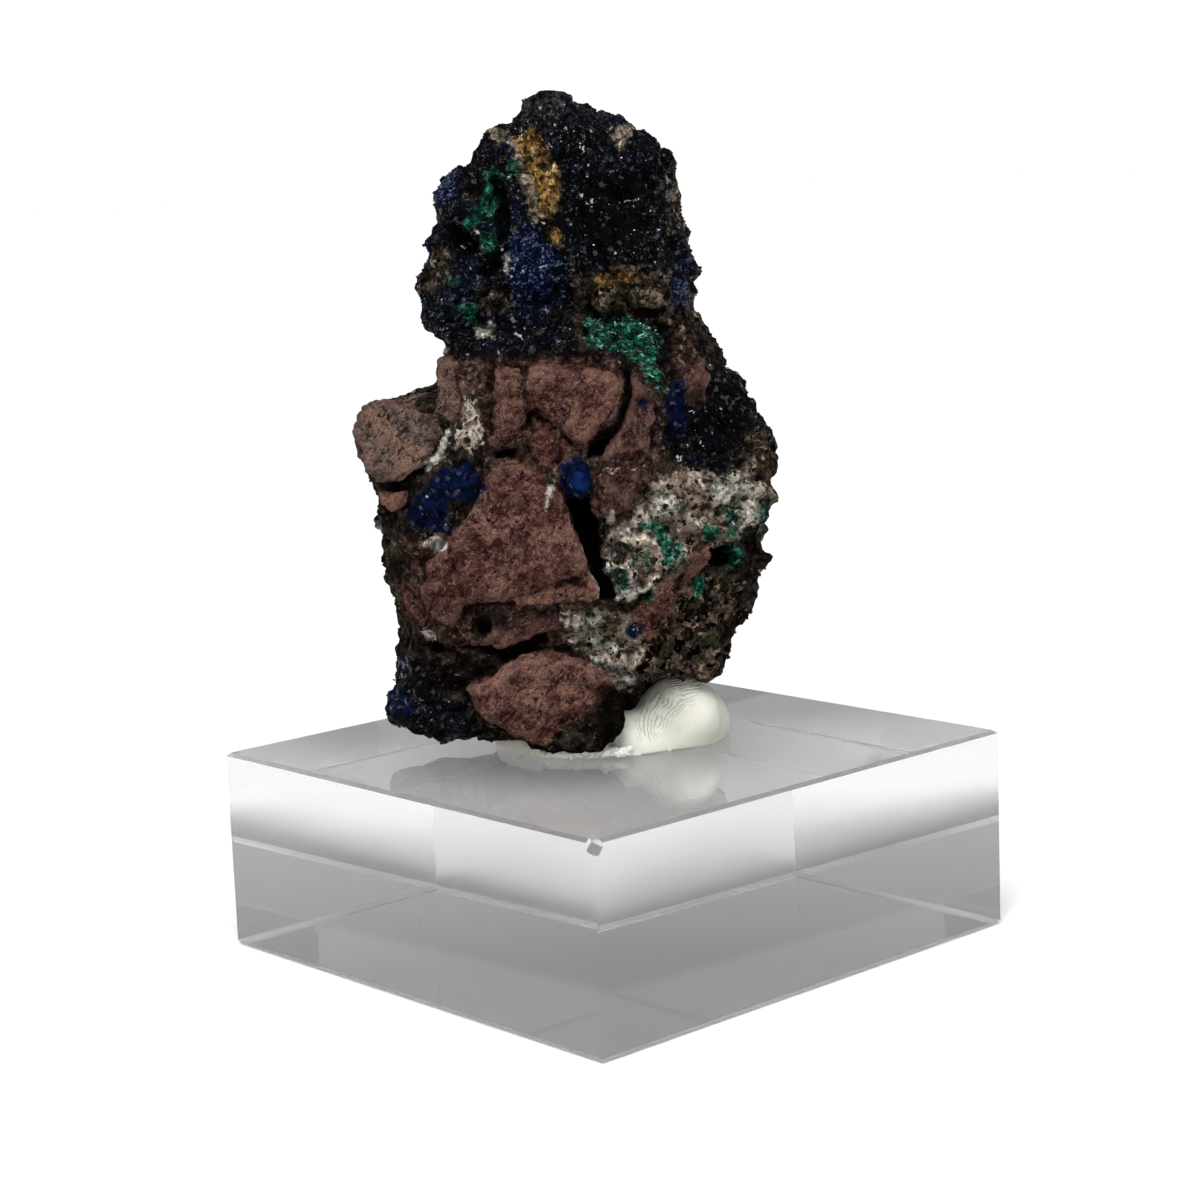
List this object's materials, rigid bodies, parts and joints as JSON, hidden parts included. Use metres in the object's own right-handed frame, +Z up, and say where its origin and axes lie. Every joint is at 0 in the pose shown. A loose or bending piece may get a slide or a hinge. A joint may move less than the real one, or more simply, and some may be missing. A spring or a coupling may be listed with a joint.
{
  "type": "azurite and malachite specimen",
  "caption": "Upright lump of red-brown breccia with azurite and malachite crusts, set in white mineral putty on a clear square acrylic block.",
  "frame": {"origin": "centre of the acrylic block's underside", "axes": "+Z up through the block and the rock; X and Y along the block's edges. The rock's broken face looks out over the -X -Y corner, 42.4 degrees from -Y towards -X."},
  "size_m": [0.055, 0.055, 0.0847],
  "materials": {
    "clear_acrylic": "polished",
    "mineral_putty": "matte",
    "breccia": "matte"
  },
  "bodies": {
    "root": {"acrylic_block": "clear_acrylic", "putty_pad": "mineral_putty", "rock_specimen": "breccia"}
  },
  "joints": []
}
